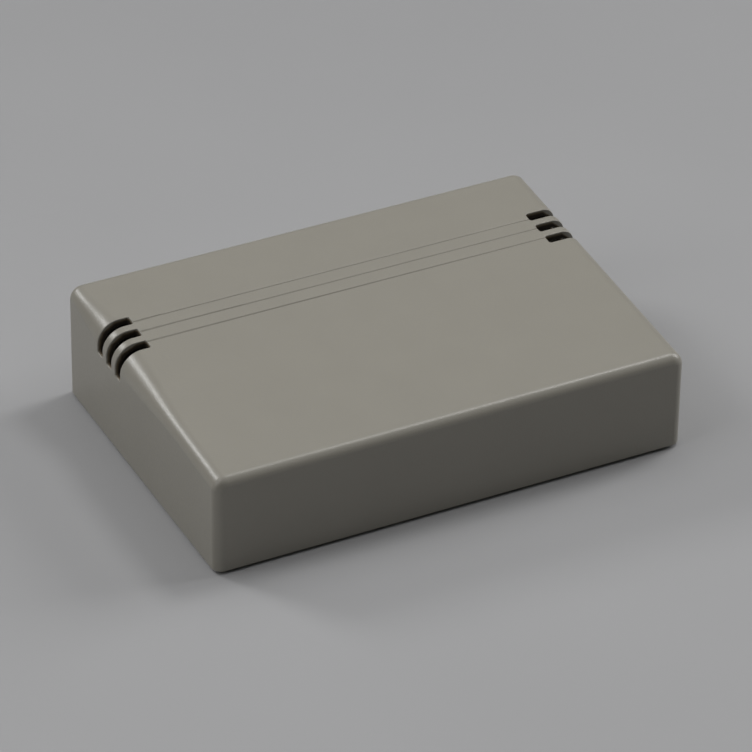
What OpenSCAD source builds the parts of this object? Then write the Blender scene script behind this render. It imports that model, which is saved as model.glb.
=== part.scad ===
// Sloped instrument case: one deep moulded cover, closed from below by a screwed base plate.
// Origin: middle of the footprint, on the standing surface. X to the right, Y to the back, Z up.

/* [Case] */
// Width of the case, left to right
case_w = 158; // [130:1:220]
// Depth of the case, front to back
case_d = 108; // [100:1:160]
// Height of the top at the front face, above the standing surface
front_h = 34; // [28:0.5:50]
// Height of the top at the back face, above the standing surface
back_h = 40; // [32:0.5:60]
// Wall thickness of the cover
wall = 2.4; // [1.8:0.1:2.8]
// Rounding where the top turns down into the sides, at the front
side_front_r = 4.3; // [3.6:0.1:7]
// Rounding where the top turns down into the sides, at the back
side_back_r = 7.6; // [4:0.1:9]
// Rounding of the upright corners and of the top's front and back edges
edge_r = 3.1; // [3:0.1:3.5]

/* [Vents] */
// Number of slots on each side
vent_count = 3; // [1:1:5]
// Distance from the front face to the middle slot
vent_y = 76.7; // [40:0.1:82]
// Spacing of the slots
vent_pitch = 6.5; // [5:0.1:9]
// Width of a slot
vent_w = 3.7; // [2:0.1:3.9]
// Reach of a slot across the top, from the side face
vent_top = 10.5; // [7:0.1:16]
// Reach of a slot down the side, from the top
vent_side = 10; // [8:0.1:14]
// Rounding of a slot's end corners
vent_corner_r = 0.7; // [0.2:0.1:0.9]

/* [Grooves] */
// Number of fine grooves across the top
groove_count = 3; // [1:1:5]
// Distance from the front face to the middle groove
groove_y = 76.7; // [40:0.1:82]
// Spacing of the grooves
groove_pitch = 5.45; // [3:0.05:9]
// Width of a groove at the surface
groove_w = 0.6; // [0.3:0.1:1.2]

/* [Base] */
// Thickness of the base plate
base_t = 2.5; // [2:0.1:4]
// Height of the cover's rim above the standing surface
rim_z = 1.2; // [0.4:0.1:1.8]
// Gap between the base plate and the cover's walls
base_gap = 0.2; // [0.1:0.05:0.5]
// Rounding of the base plate's corners
base_corner_r = 1; // [0.8:0.1:3]

/* [Screws] */
// Distance of the screws from the side, front and back faces
screw_inset = 9.5; // [8.5:0.1:14]
// Core diameter of the self-tapping screws
screw_core_d = 2.4; // [2:0.1:3.2]
// Head diameter
screw_head_d = 5.6; // [4.5:0.1:6]
// Head height
screw_head_h = 1.9; // [1.4:0.1:2.4]
// Shank length under the head
screw_len = 12; // [8:0.5:18]
// Radial clearance of the screw in the cover's boss
pilot_gap = 0.05; // [0.02:0.01:0.2]
// Radial clearance of the screw and its head in the base plate
screw_gap = 0.4; // [0.2:0.05:0.6]
// Outside diameter of the cover's bosses
boss_d = 7; // [5.5:0.1:8]

/* [Board pillars] */
// Spacing of the board pillars across the case
board_x = 120; // [60:1:120]
// Spacing of the board pillars from front to back
board_y = 70; // [40:1:74]
// Height of the pillars above the base plate
pillar_h = 6; // [3:0.5:12]
// Outside diameter of the pillars
pillar_d = 6; // [5:0.1:8]
// Diameter of the pilot hole in each pillar
pillar_hole_d = 2.5; // [1.8:0.1:3]

/* [Hidden] */

eps = 0.5;                       // overshoot of a cut past the face that it opens
form_fn = 32;                    // facets of the rounded forms
bore_fn = 48;
slope = atan((back_h - front_h) / case_d);
middle_h = (front_h + back_h) / 2;

counterbore_d = screw_head_d + 2 * screw_gap;
recess_h = 0.8;                  // how far a screw head lies above the plate's underside
seat_z = recess_h + screw_head_h;
seat_floor = 1.8;                // plastic between a screw head and the boss above it
collar_d = counterbore_d + 3;
boss_z = seat_z + seat_floor;
pilot_d = screw_core_d + 2 * pilot_gap;
pilot_spare = 2;                 // pilot hole past the screw's tip
point_h = 1.5;                   // pointed end of a screw
cross_w = 0.8;                   // cross recess in a screw head
cross_len = 3.2;
cross_depth = 1.1;
web_t = 1.6;                     // webs that tie the bosses to the walls
web_z = boss_z + 5;
pillar_floor = 1;                // plastic left under a pillar's pilot hole

screw_x = case_w / 2 - screw_inset;
screw_y = case_d / 2 - screw_inset;

function top_z(y) = middle_h + y * tan(slope);

// Rounding of the side edge at the front (sy = -1) and at the back (sy = 1).
function side_r(sy) = sy < 0 ? side_front_r : side_back_r;

// Places of a row of repeated features, centred on a distance from the front face.
function row_y(count, pitch, middle) =
    [for (i = [0:count - 1]) middle - case_d / 2 + (i - (count - 1) / 2) * pitch];

// Rectangle with rounded corners, centred on the origin.
function rounded_rect(w, h, r, steps = 6) = [
    for (corner = [0:3], i = [0:steps])
        let (a = 90 * (corner + i / steps), sx = corner == 0 || corner == 3 ? 1 : -1, sy = corner < 2 ? 1 : -1)
            [sx * (w / 2 - r) + r * cos(a), sy * (h / 2 - r) + r * sin(a)]
];

module at_corners(x, y) {
    for (sx = [-1, 1], sy = [-1, 1])
        translate([sx * x, sy * y, 0])
            children();
}

// A ring about Z whose outside is rounded by r, swept round a circle of radius sweep_r.
module ring(sweep_r, r) {
    rotate_extrude($fn = form_fn)
        intersection() {
            translate([sweep_r, 0])
                circle(r = r, $fn = form_fn);
            translate([0, -r])
                square([sweep_r + r, 2 * r]);
        }
}

// The case's outer form, moved inwards by inset. A ring at each top corner gives the side and edge roundings.
module wedge_form(inset, bottom_z) {
    corner_r = edge_r - inset;
    y = case_d / 2 - edge_r;
    hull()
        for (sx = [-1, 1], sy = [-1, 1]) {
            ring_r = side_r(sy) - edge_r;
            translate([sx * (case_w / 2 - side_r(sy)), sy * y, top_z(sy * y) - edge_r / cos(slope) - ring_r])
                rotate([90, 0, 0])
                    ring(ring_r, corner_r);
            translate([sx * (case_w / 2 - edge_r), sy * y, bottom_z])
                cylinder(r = corner_r, h = edge_r, $fn = form_fn);
        }
}

// One slot: a notch through the edge between the top and the right side, with rounded ends.
module vent_cut(y) {
    translate([case_w / 2, y, top_z(y)])
        intersection() {
            translate([0, 0, -vent_side - eps])
                linear_extrude(vent_side + 2 * eps)
                    polygon(rounded_rect(2 * vent_top, vent_w, vent_corner_r));
            translate([eps, 0, 0])
                rotate([0, -90, 0])
                    linear_extrude(vent_top + 2 * eps)
                        polygon(rounded_rect(2 * vent_side, vent_w, vent_corner_r));
        }
}

module vents() {
    for (y = row_y(vent_count, vent_pitch, vent_y), side = [0, 1])
        mirror([side, 0, 0])
            vent_cut(y);
}

// V grooves in the sloped top, from slot to slot.
module grooves() {
    length = case_w - 2 * vent_top;
    bar = groove_w / sqrt(2);
    for (y = row_y(groove_count, groove_pitch, groove_y))
        translate([-length / 2, y, top_z(y)])
            rotate([45 + slope, 0, 0])
                translate([0, -bar / 2, -bar / 2])
                    cube([length, bar, bar]);
}

// Screw bosses that hang from the top, each tied to the two nearest walls by a web.
module screw_bosses() {
    for (sx = [-1, 1], sy = [-1, 1]) {
        x = sx * screw_x;
        y = sy * screw_y;
        roof_z = top_z(y) - wall / 2;
        span = screw_inset - wall / 2;
        translate([x, y, boss_z])
            cylinder(d = boss_d, h = roof_z - boss_z, $fn = bore_fn);
        translate([sx > 0 ? x : x - span, y - web_t / 2, web_z])
            cube([span, web_t, top_z(y) - side_r(sy) - web_z]);
        translate([x - web_t / 2, sy > 0 ? y : y - span, web_z])
            cube([web_t, span, top_z(y) - side_r(sy) - web_z]);
    }
}

module cover() {
    color("#8d8a82")
        difference() {
            union() {
                difference() {
                    wedge_form(0, rim_z);
                    wedge_form(wall, rim_z - eps);
                }
                screw_bosses();
            }
            vents();
            grooves();
            at_corners(screw_x, screw_y)
                translate([0, 0, boss_z - eps])
                    cylinder(d = pilot_d, h = seat_z + screw_len + pilot_spare - boss_z + eps, $fn = bore_fn);
        }
}

module base_plate() {
    inside_w = case_w - 2 * (wall + base_gap);
    inside_d = case_d - 2 * (wall + base_gap);
    color("#85827a")
        difference() {
            union() {
                linear_extrude(base_t)
                    polygon(rounded_rect(inside_w, inside_d, base_corner_r));
                at_corners(screw_x, screw_y)
                    cylinder(d = collar_d, h = boss_z, $fn = bore_fn);
                at_corners(board_x / 2, board_y / 2)
                    cylinder(d = pillar_d, h = base_t + pillar_h, $fn = bore_fn);
            }
            at_corners(screw_x, screw_y) {
                translate([0, 0, -eps])
                    cylinder(d = counterbore_d, h = seat_z + eps, $fn = bore_fn);
                cylinder(d = screw_core_d + 2 * screw_gap, h = boss_z + eps, $fn = bore_fn);
            }
            at_corners(board_x / 2, board_y / 2)
                translate([0, 0, pillar_floor])
                    cylinder(d = pillar_hole_d, h = base_t + pillar_h, $fn = bore_fn);
        }
}

// A pan-head self-tapping screw, head down, its bearing face at the counterbore's floor.
module screw() {
    difference() {
        union() {
            translate([0, 0, recess_h])
                cylinder(d = screw_head_d, h = screw_head_h, $fn = bore_fn);
            translate([0, 0, seat_z])
                cylinder(d = screw_core_d, h = screw_len - point_h, $fn = bore_fn);
            translate([0, 0, seat_z + screw_len - point_h])
                cylinder(d1 = screw_core_d, d2 = screw_core_d / 3, h = point_h, $fn = bore_fn);
        }
        for (a = [0, 90])
            rotate([0, 0, a])
                translate([-cross_len / 2, -cross_w / 2, recess_h - eps])
                    cube([cross_len, cross_w, cross_depth + eps]);
    }
}

module cover_screws() {
    color("#b9bcbf")
        at_corners(screw_x, screw_y)
            screw();
}

cover();
base_plate();
cover_screws();
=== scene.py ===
"""Sloped plastic project box: a moulded cover over a screwed base plate.

The cover is one moulding with fine roundings, three wrap-round vent slots on each side and three
grooves between them. It stands for the CAD cover, at the same sizes apart from the roundings of its
side edges: the left one swells round the slots, and the right one is even. Lengths are in
millimetres until they reach a mesh. X goes right, Y back and Z up.
"""

import math

import bmesh
import bpy
from mathutils import Matrix, Vector


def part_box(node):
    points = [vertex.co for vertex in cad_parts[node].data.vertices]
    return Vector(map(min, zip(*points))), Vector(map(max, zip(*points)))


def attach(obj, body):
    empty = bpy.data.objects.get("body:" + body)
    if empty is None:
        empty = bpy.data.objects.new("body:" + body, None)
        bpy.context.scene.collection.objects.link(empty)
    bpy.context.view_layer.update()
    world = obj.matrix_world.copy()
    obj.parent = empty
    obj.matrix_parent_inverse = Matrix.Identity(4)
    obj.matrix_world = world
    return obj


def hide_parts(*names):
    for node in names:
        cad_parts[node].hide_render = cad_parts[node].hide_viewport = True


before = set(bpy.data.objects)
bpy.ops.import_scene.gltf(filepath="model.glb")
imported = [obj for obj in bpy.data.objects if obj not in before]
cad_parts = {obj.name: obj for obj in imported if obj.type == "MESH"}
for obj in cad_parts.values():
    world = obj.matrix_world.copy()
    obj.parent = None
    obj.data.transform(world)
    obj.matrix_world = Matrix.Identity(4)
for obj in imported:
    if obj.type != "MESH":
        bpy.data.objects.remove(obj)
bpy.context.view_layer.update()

MM = 0.001

# ---------------------------------------------------------------- case
cover_low, cover_high = (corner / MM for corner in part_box("cover"))
CASE_W = cover_high.x - cover_low.x
CASE_D = cover_high.y - cover_low.y
RIM_Z = cover_low.z                        # the cover's lower rim
FRONT_H = 34.0                             # the top's height at the front face
BACK_H = 40.0                              # and at the back face
SLOPE = math.atan((BACK_H - FRONT_H) / CASE_D)
WALL = 2.4
EDGE_R = 3.1                               # upright corners, and the top's front and back edges
SIDE_R = 4.4                               # side edges of the top
RIM_R = 0.18                               # the cover's lower rim

# The left side edge's rounding grows to SWELL_R round the slots, over lengths before and after them.
SWELL_R = 7.4
SWELL_FRONT = 42.0
SWELL_BACK = 19.0
STATION_STEP = 2.0                         # spacing of the arcs along that edge

# ---------------------------------------------------------------- slots and grooves
VENT_COUNT = 3
VENT_Y = 76.7                              # middle slot, from the front face
VENT_PITCH = 6.5
VENT_W = 3.7
VENT_TOP = 10.5                            # reach across the top
VENT_SIDE = 10.0                           # reach down the side
VENT_CORNER_R = 0.7
VENT_RIM_R = 0.3

GROOVE_COUNT = 3
GROOVE_Y = 76.7                            # middle groove, from the front face
GROOVE_PITCH = 5.45
GROOVE_W = 0.6
GROOVE_RIM_R = 0.14

# ---------------------------------------------------------------- base plate, screws and bosses
BASE_T = 2.5
BASE_GAP = 0.2                             # between the plate and the cover's walls
BASE_CORNER_R = 1.0
BASE_RIM_R = 0.3

SCREW_INSET = 9.5                          # from the side, front and back faces
SCREW_CORE_D = 2.4
SCREW_HEAD_D = 5.6
SCREW_HEAD_H = 1.9
SCREW_LEN = 12.0
SCREW_GAP = 0.4                            # radial, in the plate
PILOT_GAP = 0.05                           # radial, in the cover's bosses
PILOT_SPARE = 2.0                          # pilot hole past the screw's tip
POINT_H = 1.5
CROSS_W = 0.8
CROSS_LEN = 3.2
CROSS_DEPTH = 1.1
HEAD_DOME = 0.7                            # height of the head's domed part
HEAD_BEVEL = 0.15                          # bevel round the bearing face
HEAD_RECESS = 0.8                          # between the head and the plate's underside
SEAT_FLOOR = 1.8                           # plastic between a head and the boss above it

SEAT_Z = HEAD_RECESS + SCREW_HEAD_H
BOSS_Z = SEAT_Z + SEAT_FLOOR
SCREW_HOLE_D = SCREW_CORE_D + 2 * SCREW_GAP
COUNTERBORE_D = SCREW_HEAD_D + 2 * SCREW_GAP
COLLAR_WALL = 1.5
COLLAR_D = COUNTERBORE_D + 2 * COLLAR_WALL
BOSS_D = 7.0
PILOT_D = SCREW_CORE_D + 2 * PILOT_GAP
PILOT_TOP = SEAT_Z + SCREW_LEN + PILOT_SPARE
WEB_T = 1.6
WEB_LIFT = 5.0                             # from the foot of a boss to its webs
WEB_Z = BOSS_Z + WEB_LIFT

BOARD_X = 120.0                            # spacing of the board pillars, across
BOARD_Y = 70.0                             # and from front to back
PILLAR_H = 6.0
PILLAR_D = 6.0
PILLAR_HOLE_D = 2.5
PILLAR_FLOOR = 1.0                         # plastic under a pillar's hole

# ---------------------------------------------------------------- steps and tolerances
ARC_STEPS = 18                             # in a quarter of the case's roundings
CORNER_STEPS = 6                           # in a quarter of a small corner
CIRCLE_STEPS = 48
DOME_STEPS = 10
OVERSHOOT = 5.0                            # of a large cut past the face that it opens
SMALL_OVERSHOOT = 1.0                      # of a small one
EMBED = 0.5                                # a post on the base plate starts this high inside the plate
TINY = 1e-6                                # metres
SHARP = 1.0                                # radians: edges that turn further are rounded
SMOOTH_ANGLE = math.radians(35)            # edges that turn less are shaded smooth
NORMAL_WEIGHT = 60                         # of the large faces in the shading

# Kinds of surface, by material slot while the cover is cut.
LABELS = {"skin": 0, "inside": 1, "slot": 2, "groove": 3}


def top_z(y):
    """Height of the sloped top's plane."""
    return (FRONT_H + BACK_H) / 2 + y * math.tan(SLOPE)


def row_y(count, pitch, middle):
    """Places of a row of features, given its middle's distance from the front face."""
    return [middle - CASE_D / 2 + (i - (count - 1) / 2) * pitch for i in range(count)]


def swelling_r(y):
    """Rounding of the left side edge, which swells round the slots."""
    half = (VENT_COUNT - 1) / 2 * VENT_PITCH + VENT_W / 2
    middle = VENT_Y - CASE_D / 2
    before = (y - (middle - half - SWELL_FRONT)) / SWELL_FRONT
    after = (middle + half + SWELL_BACK - y) / SWELL_BACK
    t = min(max(min(before, after), 0), 1)
    return SIDE_R + (SWELL_R - SIDE_R) * t * t * (3 - 2 * t)


# ---------------------------------------------------------------- outlines
def on_circle(radius, i, steps):
    a = 2 * math.pi * i / steps
    return radius * math.cos(a), radius * math.sin(a)


def circle(diameter):
    return [on_circle(diameter / 2, i, CIRCLE_STEPS) for i in range(CIRCLE_STEPS)]


def rectangle(x0, x1, y0, y1):
    return [(x0, y0), (x1, y0), (x1, y1), (x0, y1)]


def rounded_rectangle(width, height, radius):
    """Corner points of a rounded rectangle about the origin."""
    points = []
    for corner in range(4):
        sx = 1 if corner in (0, 3) else -1
        sy = 1 if corner < 2 else -1
        for i in range(CORNER_STEPS + 1):
            a = math.pi / 2 * (corner + i / CORNER_STEPS)
            x = sx * (width / 2 - radius) + radius * math.cos(a)
            y = sy * (height / 2 - radius) + radius * math.sin(a)
            points.append((x, y))
    return points


# ---------------------------------------------------------------- mesh helpers
def new_object(name, bm):
    """An object from a bmesh in millimetres."""
    bmesh.ops.recalc_face_normals(bm, faces=bm.faces[:])
    bm.transform(Matrix.Scale(MM, 4))
    mesh = bpy.data.meshes.new(name)
    bm.to_mesh(mesh)
    bm.free()
    obj = bpy.data.objects.new(name, mesh)
    bpy.context.scene.collection.objects.link(obj)
    return obj


def prism(outline, height, place):
    """A solid from an outline in XY, raised by height and moved by a matrix."""
    bm = bmesh.new()
    low = [bm.verts.new((x, y, 0)) for x, y in outline]
    high = [bm.verts.new((x, y, height)) for x, y in outline]
    bm.faces.new(low[::-1])
    bm.faces.new(high)
    for i in range(len(outline)):
        k = (i + 1) % len(outline)
        bm.faces.new((low[i], low[k], high[k], high[i]))
    bm.transform(place)
    return bm


def raised(name, outline, z0, z1, x=0.0, y=0.0):
    """An upright prism from z0 to z1 at a place in plan."""
    return new_object(name, prism(outline, z1 - z0, Matrix.Translation((x, y, z0))))


def lathe(bm, profile):
    """Turns a profile of (radius, height) points about Z. Its first and last points lie on the axis."""
    rings = []
    for radius, z in profile[1:-1]:
        places = [on_circle(radius, i, CIRCLE_STEPS) for i in range(CIRCLE_STEPS)]
        rings.append([bm.verts.new((x, y, z)) for x, y in places])
    low = bm.verts.new((0, 0, profile[0][1]))
    high = bm.verts.new((0, 0, profile[-1][1]))
    for i in range(CIRCLE_STEPS):
        k = (i + 1) % CIRCLE_STEPS
        bm.faces.new((low, rings[0][k], rings[0][i]))
        bm.faces.new((high, rings[-1][i], rings[-1][k]))
        for a, b in zip(rings, rings[1:]):
            bm.faces.new((a[i], a[k], b[k], b[i]))


def boolean(obj, operation, tool):
    """Applies a Boolean of obj with tool, and removes the tool."""
    modifier = obj.modifiers.new("cut", "BOOLEAN")
    modifier.operation = operation
    modifier.solver = "EXACT"
    modifier.object = tool
    graph = bpy.context.evaluated_depsgraph_get()
    mesh = bpy.data.meshes.new_from_object(obj.evaluated_get(graph))
    obj.modifiers.clear()
    obj.data = mesh
    bpy.data.objects.remove(tool)


def label(obj, kind):
    """Marks all of an object's faces as one kind of surface, so that edges can be found after a cut."""
    for name in LABELS:
        material = bpy.data.materials.get("mark_" + name) or bpy.data.materials.new("mark_" + name)
        obj.data.materials.append(material)
    for face in obj.data.polygons:
        face.material_index = LABELS[kind]
    return obj


def bevel(obj, wanted, radius, segments):
    """Rounds the edges that a test picks. The new faces are labelled as skin."""
    bm = bmesh.new()
    bm.from_mesh(obj.data)
    bmesh.ops.bevel(
        bm,
        geom=[edge for edge in bm.edges if wanted(edge)],
        offset=radius * MM,
        segments=segments,
        profile=0.5,
        affect="EDGES",
        material=LABELS["skin"],
    )
    bm.to_mesh(obj.data)
    bm.free()


def skin_meets(kind):
    """A test for the edges where the skin meets one kind of surface."""
    wanted = {LABELS["skin"], LABELS[kind]}

    def test(edge):
        return len(edge.link_faces) == 2 and {face.material_index for face in edge.link_faces} == wanted

    return test


def sharp_at(z):
    """A test for the sharp edges that lie at height z."""
    def test(edge):
        level = all(abs(v.co.z - z * MM) < TINY for v in edge.verts)
        return level and edge.calc_face_angle(0) > SHARP

    return test


# ---------------------------------------------------------------- cover
def corner_grid(sx, sy, inset):
    """Points of one top corner: rows go from the side to the top, and columns from the edge to the face."""
    corner_r = EDGE_R - inset
    ring_r = SIDE_R - EDGE_R
    y = sy * (CASE_D / 2 - EDGE_R)
    centre = Vector((sx * (CASE_W / 2 - SIDE_R), y, top_z(y) - EDGE_R / math.cos(SLOPE) - ring_r))
    rows = []
    for i in range(ARC_STEPS + 1):
        a = math.pi / 2 * i / ARC_STEPS
        spoke = Vector((sx * math.cos(a), 0, math.sin(a)))
        start = -sy * math.atan(math.sin(a) * math.tan(SLOPE))
        row = []
        for j in range(ARC_STEPS + 1):
            b = start + (math.pi / 2 - start) * j / ARC_STEPS
            normal = Vector((spoke.x * math.cos(b), sy * math.sin(b), spoke.z * math.cos(b)))
            row.append(centre + ring_r * spoke + corner_r * normal)
        rows.append(row)
    return rows


def swelling_arcs(inset):
    """Arcs across the left side edge, from the front to the back, each with the rounding of its place."""
    reach = CASE_D / 2 - EDGE_R - STATION_STEP
    count = round(2 * reach / STATION_STEP)
    arcs = []
    for k in range(count + 1):
        y = -reach + 2 * reach * k / count
        outer_r = swelling_r(y)
        arc_r = outer_r - inset
        centre = Vector((-(CASE_W / 2 - outer_r), y, top_z(y) - inset / math.cos(SLOPE) - arc_r))
        angles = [math.pi / 2 * i / ARC_STEPS for i in range(ARC_STEPS + 1)]
        arcs.append([centre + arc_r * Vector((-math.cos(a), 0, math.sin(a))) for a in angles])
    return arcs


def wedge(inset, bottom_z):
    """The case's outer form moved inwards by inset, closed at the bottom."""
    bm = bmesh.new()
    grids = {}
    feet = {}
    edges = {}
    last = ARC_STEPS
    for sx in (-1, 1):
        for sy in (-1, 1):
            rows = [[bm.verts.new(p) for p in row] for row in corner_grid(sx, sy, inset)]
            grids[sx, sy] = rows
            feet[sx, sy] = [bm.verts.new((v.co.x, v.co.y, bottom_z)) for v in rows[0]]
        between = swelling_arcs(inset) if sx < 0 else []
        arcs = [[bm.verts.new(p) for p in arc] for arc in between]
        front, back = ([row[0] for row in grids[sx, sy]] for sy in (-1, 1))
        edges[sx] = [front] + arcs + [back]

    for key, rows in grids.items():
        for j in range(last):
            for i in range(last):
                bm.faces.new((rows[i][j], rows[i + 1][j], rows[i + 1][j + 1], rows[i][j + 1]))
            bm.faces.new((rows[0][j], rows[0][j + 1], feet[key][j + 1], feet[key][j]))
    for sx, arcs in edges.items():
        for near, far in zip(arcs, arcs[1:]):
            for i in range(last):
                bm.faces.new((near[i], near[i + 1], far[i + 1], far[i]))
        bm.faces.new([arc[0] for arc in arcs] + [feet[sx, 1][0], feet[sx, -1][0]])
    for sy in (-1, 1):
        left, right = grids[-1, sy], grids[1, sy]
        for j in range(last):
            bm.faces.new((left[last][j], right[last][j], right[last][j + 1], left[last][j + 1]))
        outline = [row[last] for row in left] + [row[last] for row in right[::-1]]
        bm.faces.new(outline + [feet[1, sy][last], feet[-1, sy][last]])
    bm.faces.new([arc[last] for arc in edges[-1]] + [arc[last] for arc in edges[1][::-1]])
    bm.faces.new(feet[-1, -1] + feet[1, -1][::-1] + feet[1, 1] + feet[-1, 1][::-1])
    return bm


def vent_cutter(y, side):
    """One slot: a notch through the edge between the top and a side, with rounded ends."""
    reach = 2 * (VENT_TOP + OVERSHOOT)
    drop = 2 * (VENT_SIDE + OVERSHOOT)
    end_x = side * (CASE_W / 2 - VENT_TOP + reach / 2)
    low_z = top_z(y) - VENT_SIDE
    plan_place = Matrix.Translation((end_x, y, low_z - OVERSHOOT))
    plan = prism(rounded_rectangle(reach, VENT_W, VENT_CORNER_R), drop, plan_place)
    outward = Matrix.Rotation(side * math.pi / 2, 4, "Y")
    profile_place = Matrix.Translation((side * (CASE_W / 2 - reach), y, low_z + drop / 2)) @ outward
    profile = prism(rounded_rectangle(drop, VENT_W, VENT_CORNER_R), 2 * reach, profile_place)
    cutter = new_object("slot_plan", plan)
    boolean(cutter, "INTERSECT", new_object("slot_profile", profile))
    return label(cutter, "slot")


def groove_cutter(y):
    """A bar on its edge along the slope: it leaves a V groove from slot to slot."""
    half = GROOVE_W / 2
    length = CASE_W - 2 * VENT_TOP
    outline = [(-half, 0), (0, -half), (half, 0), (0, half)]
    along_x = Matrix.Rotation(math.pi / 2, 4, "Y") @ Matrix.Rotation(math.pi / 2, 4, "Z")
    place = Matrix.Translation((-length / 2, y, top_z(y))) @ Matrix.Rotation(SLOPE, 4, "X") @ along_x
    return label(new_object("groove", prism(outline, length, place)), "groove")


def screw_places():
    x, y = CASE_W / 2 - SCREW_INSET, CASE_D / 2 - SCREW_INSET
    return [(sx * x, sy * y) for sx in (-1, 1) for sy in (-1, 1)]


def add_boss(cover, x, y):
    """A boss that hangs from the top, with a web to each of the two nearest walls and a pilot hole."""
    reach_x = x + math.copysign(SCREW_INSET - WALL / 2, x)
    reach_y = y + math.copysign(SCREW_INSET - WALL / 2, y)
    half = WEB_T / 2
    boss = raised("boss", circle(BOSS_D), BOSS_Z, top_z(y) - WALL / 2, x, y)
    along_x = rectangle(*sorted((x, reach_x)), y - half, y + half)
    along_y = rectangle(x - half, x + half, *sorted((y, reach_y)))
    for outline in (along_x, along_y):
        boolean(boss, "UNION", raised("web", outline, WEB_Z, top_z(y) - SWELL_R))
    boolean(cover, "UNION", label(boss, "inside"))
    pilot = raised("pilot", circle(PILOT_D), BOSS_Z - SMALL_OVERSHOOT, PILOT_TOP, x, y)
    boolean(cover, "DIFFERENCE", label(pilot, "inside"))


def mark_slot_depth(obj):
    """Stores how deep each corner of a slot's walls lies: 0 at the skin, 1 where the wall ends. The
    plastic's colour is darkened by it as painted shade.
    """
    mesh = obj.data
    inner = set()
    for face in mesh.polygons:
        if face.material_index == LABELS["inside"]:
            inner.update(face.vertices)
    depth = mesh.attributes.new("slot_depth", "FLOAT", "CORNER")
    for face in mesh.polygons:
        if face.material_index == LABELS["slot"]:
            for loop in face.loop_indices:
                depth.data[loop].value = float(mesh.loops[loop].vertex_index in inner)


def make_cover():
    """The moulded cover: outer form, slots and grooves with rounded rims, inside, bosses and webs."""
    cover = label(new_object("cover_moulding", wedge(0, RIM_Z)), "skin")
    for y in row_y(VENT_COUNT, VENT_PITCH, VENT_Y):
        for side in (-1, 1):
            boolean(cover, "DIFFERENCE", vent_cutter(y, side))
    bevel(cover, skin_meets("slot"), VENT_RIM_R, segments=3)
    for y in row_y(GROOVE_COUNT, GROOVE_PITCH, GROOVE_Y):
        boolean(cover, "DIFFERENCE", groove_cutter(y))
    bevel(cover, skin_meets("groove"), GROOVE_RIM_R, segments=2)
    boolean(cover, "DIFFERENCE", label(new_object("hollow", wedge(WALL, RIM_Z - OVERSHOOT)), "inside"))
    for x, y in screw_places():
        add_boss(cover, x, y)
    mark_slot_depth(cover)
    bevel(cover, sharp_at(RIM_Z), RIM_R, segments=3)
    return cover


# ---------------------------------------------------------------- base plate and screws
def make_base_plate():
    """The plate that closes the cover from below: collars round the screws, and pillars for a board."""
    inner = 2 * (WALL + BASE_GAP)
    outline = rounded_rectangle(CASE_W - inner, CASE_D - inner, BASE_CORNER_R)
    plate = raised("base_moulding", outline, 0, BASE_T)
    pillar_z = BASE_T + PILLAR_H
    pillars = [(sx * BOARD_X / 2, sy * BOARD_Y / 2) for sx in (-1, 1) for sy in (-1, 1)]
    for x, y in screw_places():
        boolean(plate, "UNION", raised("collar", circle(COLLAR_D), EMBED, BOSS_Z, x, y))
    for x, y in pillars:
        boolean(plate, "UNION", raised("pillar", circle(PILLAR_D), EMBED, pillar_z, x, y))
    for x, y in screw_places():
        counterbore = raised("counterbore", circle(COUNTERBORE_D), -OVERSHOOT, SEAT_Z, x, y)
        boolean(plate, "DIFFERENCE", counterbore)
        screw_hole = raised("screw_hole", circle(SCREW_HOLE_D), 0, BOSS_Z + OVERSHOOT, x, y)
        boolean(plate, "DIFFERENCE", screw_hole)
    for x, y in pillars:
        pilot = raised("pilot", circle(PILLAR_HOLE_D), PILLAR_FLOOR, pillar_z + SMALL_OVERSHOOT, x, y)
        boolean(plate, "DIFFERENCE", pilot)
    bevel(plate, sharp_at(0), BASE_RIM_R, segments=3)
    return plate


def make_screw():
    """A pan-head self-tapping screw, head down, with its bearing face at z = 0."""
    head_r = SCREW_HEAD_D / 2
    core_r = SCREW_CORE_D / 2
    turns = [math.pi / 2 * i / DOME_STEPS for i in range(DOME_STEPS + 1)]
    dome = [(head_r * math.sin(a), -SCREW_HEAD_H + HEAD_DOME * (1 - math.cos(a))) for a in turns]
    bearing = [(head_r, -HEAD_BEVEL), (head_r - HEAD_BEVEL, 0), (core_r, 0)]
    point = [(core_r, SCREW_LEN - POINT_H), (core_r / 3, SCREW_LEN), (0, SCREW_LEN)]
    bm = bmesh.new()
    lathe(bm, dome + bearing + point)
    screw = new_object("screw", bm)
    arm = rectangle(-CROSS_LEN / 2, CROSS_LEN / 2, -CROSS_W / 2, CROSS_W / 2)
    under_head = Matrix.Translation((0, 0, -SCREW_HEAD_H - SMALL_OVERSHOOT))
    for turn in (0, math.pi / 2):
        cutter = prism(arm, CROSS_DEPTH + SMALL_OVERSHOOT, under_head @ Matrix.Rotation(turn, 4, "Z"))
        boolean(screw, "DIFFERENCE", new_object("arm", cutter))
    return screw


# ---------------------------------------------------------------- materials
SCREW_COLOUR = (170, 172, 175)
FLOOR_COLOUR = (165, 165, 166)
COVER_COLOUR = (147, 143.5, 134)
BASE_COLOUR = (138, 134.5, 126)
TONE_SPREAD = 0.015                        # share by which a colour goes down and up
ROUGHNESS_SPREAD = 0.04
NOISE_LOW = 0.3                            # most of a noise texture's values lie between these two
NOISE_HIGH = 0.7

# Painted shade on the slot walls, darker and browner towards the inside: (depth, share of the plastic's
# colour that is left there).
SLOT_SHADE_STEPS = [(0.0, (1, 1, 1)), (0.2, (0.5, 0.4, 0.28)), (0.5, (0.07, 0.05, 0.03))]
# Roughness of the slot walls where the painted shade is darkest.
SLOT_WALL_ROUGHNESS = 0.95

# Painted light falloff: the floor fades along this direction in plan, over this many metres before and past
# the case's middle.
FADE_DIRECTION = (0.455, 0.89, 0)
FADE_REACH = 0.3
FADE_FRONT = 1.12
FADE_BACK = 0.87


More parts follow.
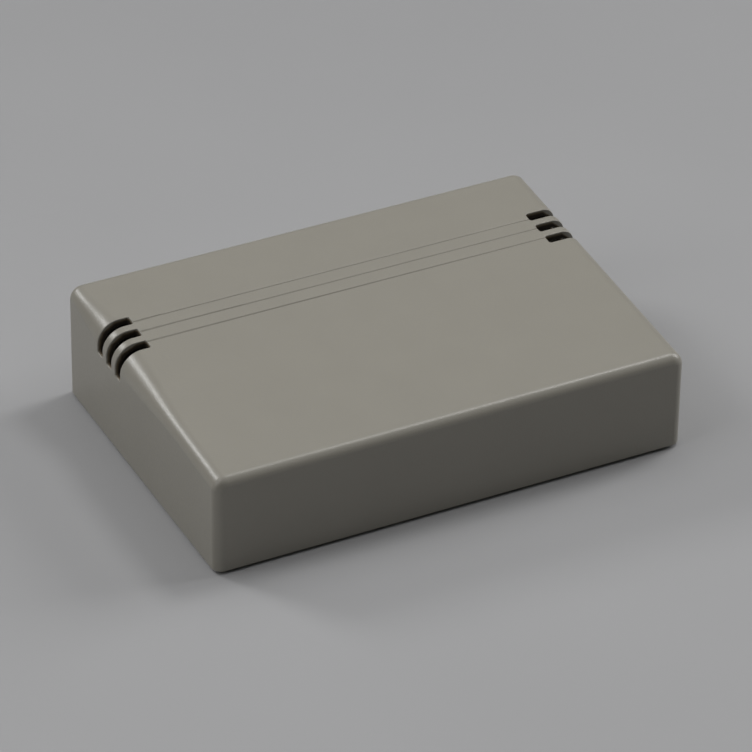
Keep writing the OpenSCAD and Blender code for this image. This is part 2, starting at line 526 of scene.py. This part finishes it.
def from_srgb(*levels):
    """Linear colour from 0-255 display levels."""
    return tuple(((v / 255 + 0.055) / 1.055) ** 2.4 if v > 10 else v / 255 / 12.92 for v in levels)


def principled(name, colour, roughness, specular=0.5, metallic=0.0):
    """A new material and its Principled shader."""
    material = bpy.data.materials.new(name)
    material.use_nodes = True
    shader = material.node_tree.nodes["Principled BSDF"]
    shader.inputs["Base Color"].default_value = (*colour, 1)
    shader.inputs["Roughness"].default_value = roughness
    shader.inputs["Specular IOR Level"].default_value = specular
    shader.inputs["Metallic"].default_value = metallic
    return material, shader


def object_noise(tree, scale, detail, roughness=0.5):
    """Noise over the object's own coordinates, in metres."""
    place = tree.nodes.new("ShaderNodeTexCoord")
    noise = tree.nodes.new("ShaderNodeTexNoise")
    noise.inputs["Scale"].default_value = scale
    noise.inputs["Detail"].default_value = detail
    noise.inputs["Roughness"].default_value = roughness
    tree.links.new(place.outputs["Object"], noise.inputs["Vector"])
    return noise.outputs["Fac"]


def map_range(tree, value, source, target):
    """A node that maps a value from one pair of numbers to another."""
    node = tree.nodes.new("ShaderNodeMapRange")
    for end, number in zip(("From Min", "From Max", "To Min", "To Max"), (*source, *target)):
        node.inputs[end].default_value = number
    tree.links.new(value, node.inputs["Value"])
    return node


def spread(tree, noise, low, high):
    """Noise mapped to low..high."""
    return map_range(tree, noise, (NOISE_LOW, NOISE_HIGH), (low, high)).outputs["Result"]


def uneven_roughness(tree, roughness, scale, detail):
    """Noise round a roughness."""
    noise = object_noise(tree, scale, detail)
    return spread(tree, noise, roughness - ROUGHNESS_SPREAD, roughness + ROUGHNESS_SPREAD)


def uneven_tone(tree, colour, scale, detail):
    """A colour that goes faintly down and up."""
    tone = tree.nodes.new("ShaderNodeMix")
    tone.data_type = "RGBA"
    tone.inputs["A"].default_value = (*(c * (1 - TONE_SPREAD) for c in colour), 1)
    tone.inputs["B"].default_value = (*(c * (1 + TONE_SPREAD) for c in colour), 1)
    tree.links.new(spread(tree, object_noise(tree, scale, detail), 0, 1), tone.inputs["Factor"])
    return tone.outputs["Result"]


def add_bump(tree, shader, noise, height):
    """Relief of a height in millimetres."""
    bump = tree.nodes.new("ShaderNodeBump")
    bump.inputs["Strength"].default_value = 1
    bump.inputs["Distance"].default_value = height * MM
    tree.links.new(noise, bump.inputs["Height"])
    tree.links.new(bump.outputs["Normal"], shader.inputs["Normal"])


def painted_shade_share(tree, depth):
    """The share of the plastic's colour that is left at a depth in a slot: painted shade."""
    ramp = tree.nodes.new("ShaderNodeValToRGB")
    elements = ramp.color_ramp.elements
    elements.new(SLOT_SHADE_STEPS[1][0])
    for element, (place, share) in zip(elements, SLOT_SHADE_STEPS):
        element.position = place
        element.color = (*share, 1)
    tree.links.new(depth, ramp.inputs["Fac"])
    return ramp.outputs["Color"]


def plastic(name, colour, roughness, grain):
    """Satin moulded plastic, with a grain of a height in millimetres, painted shade on the slot walls and
    walls that turn matt towards the inside.
    """
    material, shader = principled(name, colour, roughness)
    tree = material.node_tree
    attribute = tree.nodes.new("ShaderNodeAttribute")
    attribute.attribute_name = "slot_depth"
    depth = attribute.outputs["Fac"]
    # Painted shade: the colour darkens towards the inside of the slots.
    shaded_colour = tree.nodes.new("ShaderNodeMix")
    shaded_colour.data_type = "RGBA"
    shaded_colour.blend_type = "MULTIPLY"
    shaded_colour.inputs["Factor"].default_value = 1
    tree.links.new(uneven_tone(tree, colour, scale=60, detail=4), shaded_colour.inputs["A"])
    tree.links.new(painted_shade_share(tree, depth), shaded_colour.inputs["B"])
    tree.links.new(shaded_colour.outputs["Result"], shader.inputs["Base Color"])
    dulled = map_range(tree, depth, (0, SLOT_SHADE_STEPS[-1][0]), (roughness, SLOT_WALL_ROUGHNESS))
    tree.links.new(uneven_roughness(tree, roughness, scale=1500, detail=2), dulled.inputs["To Min"])
    tree.links.new(dulled.outputs["Result"], shader.inputs["Roughness"])
    add_bump(tree, shader, object_noise(tree, scale=1800, detail=3, roughness=0.6), height=grain)
    return material


def steel(name):
    """Plated steel with a fine uneven finish."""
    material, shader = principled(name, from_srgb(*SCREW_COLOUR), roughness=0.3, metallic=1)
    tree = material.node_tree
    uneven = spread(tree, object_noise(tree, scale=900, detail=3), low=0.22, high=0.38)
    tree.links.new(uneven, shader.inputs["Roughness"])
    add_bump(tree, shader, object_noise(tree, scale=4000, detail=2), height=0.004)
    return material


def paper(name, colour):
    """The studio floor: matt, with painted light falloff from lighter in front of the case to darker behind
    it, and a faint unevenness.
    """
    material, shader = principled(name, colour, roughness=0.9, specular=0.1)
    tree = material.node_tree
    place = tree.nodes.new("ShaderNodeTexCoord")
    along = tree.nodes.new("ShaderNodeVectorMath")
    along.operation = "DOT_PRODUCT"
    along.inputs[1].default_value = FADE_DIRECTION
    tree.links.new(place.outputs["Object"], along.inputs[0])
    # Painted light falloff: lighter in front of the case, darker behind it.
    fade = map_range(tree, along.outputs["Value"], (-FADE_REACH, FADE_REACH), (FADE_FRONT, FADE_BACK))
    scaled = tree.nodes.new("ShaderNodeVectorMath")
    scaled.operation = "SCALE"
    tree.links.new(uneven_tone(tree, colour, scale=8, detail=3), scaled.inputs[0])
    tree.links.new(fade.outputs["Result"], scaled.inputs["Scale"])
    tree.links.new(scaled.outputs["Vector"], shader.inputs["Base Color"])
    return material


def finish_piece(obj, material, node):
    """Gives a piece its material and smooth shading with crisp edges, and its place in the frame."""
    obj.data.materials.clear()
    obj.data.materials.append(material)
    for face in obj.data.polygons:
        face.material_index = 0
        face.use_smooth = True
    obj.data.set_sharp_from_angle(angle=SMOOTH_ANGLE)
    weighted = obj.modifiers.new("even_normals", "WEIGHTED_NORMAL")
    weighted.keep_sharp = True
    weighted.weight = NORMAL_WEIGHT
    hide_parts(node)
    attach(obj, "root")


# ---------------------------------------------------------------- studio
FLOOR_HALF = 6                             # metres
WORLD_STRENGTH = 0.01

# Name, azimuth and elevation in degrees, side in metres, power in watts.
# Azimuth 0 is in front of the case, 90 on its right and 180 behind it.
LAMPS = [
    ("rear_left_key", 215, 34, 0.4, 7.5),
    ("rear_left_high", 215, 60, 0.8, 1),
    ("rear_high", 180, 75, 0.9, 1.4),
    ("rear_right", 150, 58, 0.8, 1.5),
    ("right_high", 106, 62, 0.35, 5),
    ("right_low", 90, 30, 0.8, 12),
    ("left_low", 270, 30, 0.8, 3.4),
    ("left_high", 270, 60, 0.8, 3.4),
    ("front_fill", 0, 58, 1.0, 1.8),
]
LAMP_DISTANCE = 1.6                        # metres

# A long lens, from the front left and above. The place is in metres and the angles in degrees.
CAMERA_LENS = 235.73
CAMERA_SENSOR = 36
CAMERA_PLACE = (-0.5713, -1.1192, 0.8667)
CAMERA_AZIMUTH = -27.073
CAMERA_ELEVATION = 34.098
CAMERA_ROLL = 0.933
CAMERA_CLIP = (0.1, 50)


def direction(azimuth, elevation):
    """Unit vector from the case towards an azimuth and elevation in degrees."""
    a, e = math.radians(azimuth), math.radians(elevation)
    return Vector((math.sin(a) * math.cos(e), -math.cos(a) * math.cos(e), math.sin(e)))


def make_floor():
    mesh = bpy.data.meshes.new("studio_floor")
    corners = rectangle(-FLOOR_HALF, FLOOR_HALF, -FLOOR_HALF, FLOOR_HALF)
    mesh.from_pydata([(x, y, 0) for x, y in corners], [], [(0, 1, 2, 3)])
    mesh.materials.append(paper("studio_paper", from_srgb(*FLOOR_COLOUR)))
    floor = bpy.data.objects.new("studio_floor", mesh)
    bpy.context.scene.collection.objects.link(floor)


def make_lamp(name, azimuth, elevation, size, power):
    """A soft square lamp that faces the case."""
    toward = direction(azimuth, elevation)
    data = bpy.data.lights.new(name, "AREA")
    data.shape = "SQUARE"
    data.size = size
    data.energy = power
    lamp = bpy.data.objects.new(name, data)
    lamp.location = toward * LAMP_DISTANCE
    lamp.rotation_euler = (-toward).to_track_quat("-Z", "Y").to_euler()
    bpy.context.scene.collection.objects.link(lamp)


def make_camera():
    data = bpy.data.cameras.new("camera")
    data.lens = CAMERA_LENS
    data.sensor_width = CAMERA_SENSOR
    data.clip_start, data.clip_end = CAMERA_CLIP
    roll = math.radians(CAMERA_ROLL)
    back = direction(CAMERA_AZIMUTH, CAMERA_ELEVATION)
    level = Vector((0, 0, 1)).cross(back).normalized()
    upright = back.cross(level)
    right = math.cos(roll) * level + math.sin(roll) * upright
    up = math.cos(roll) * upright - math.sin(roll) * level
    turn = Matrix((right, up, back)).transposed().to_4x4()
    camera = bpy.data.objects.new("camera", data)
    camera.matrix_world = Matrix.Translation(CAMERA_PLACE) @ turn
    bpy.context.scene.collection.objects.link(camera)
    bpy.context.scene.camera = camera


def make_world():
    world = bpy.data.worlds.new("studio_world")
    world.use_nodes = True
    background = world.node_tree.nodes["Background"]
    background.inputs["Color"].default_value = (1, 1, 1, 1)
    background.inputs["Strength"].default_value = WORLD_STRENGTH
    bpy.context.scene.world = world


# ---------------------------------------------------------------- the scene
bpy.context.scene.view_settings.view_transform = "Standard"
make_camera()
make_floor()
make_world()
for lamp in LAMPS:
    make_lamp(*lamp)

cover_plastic = plastic("cover_plastic", from_srgb(*COVER_COLOUR), roughness=0.33, grain=0.05)
base_plastic = plastic("base_plastic", from_srgb(*BASE_COLOUR), roughness=0.45, grain=0.05)
screw_steel = steel("screw_steel")

finish_piece(make_cover(), cover_plastic, "cover")
finish_piece(make_base_plate(), base_plastic, "base_plate")
pattern = make_screw()
for i, (x, y) in enumerate(screw_places()):
    screw = bpy.data.objects.new(f"screw_{i + 1}", pattern.data.copy())
    bpy.context.scene.collection.objects.link(screw)
    screw.location = Vector((x, y, SEAT_Z)) * MM
    finish_piece(screw, screw_steel, "cover_screws")
bpy.data.objects.remove(pattern)
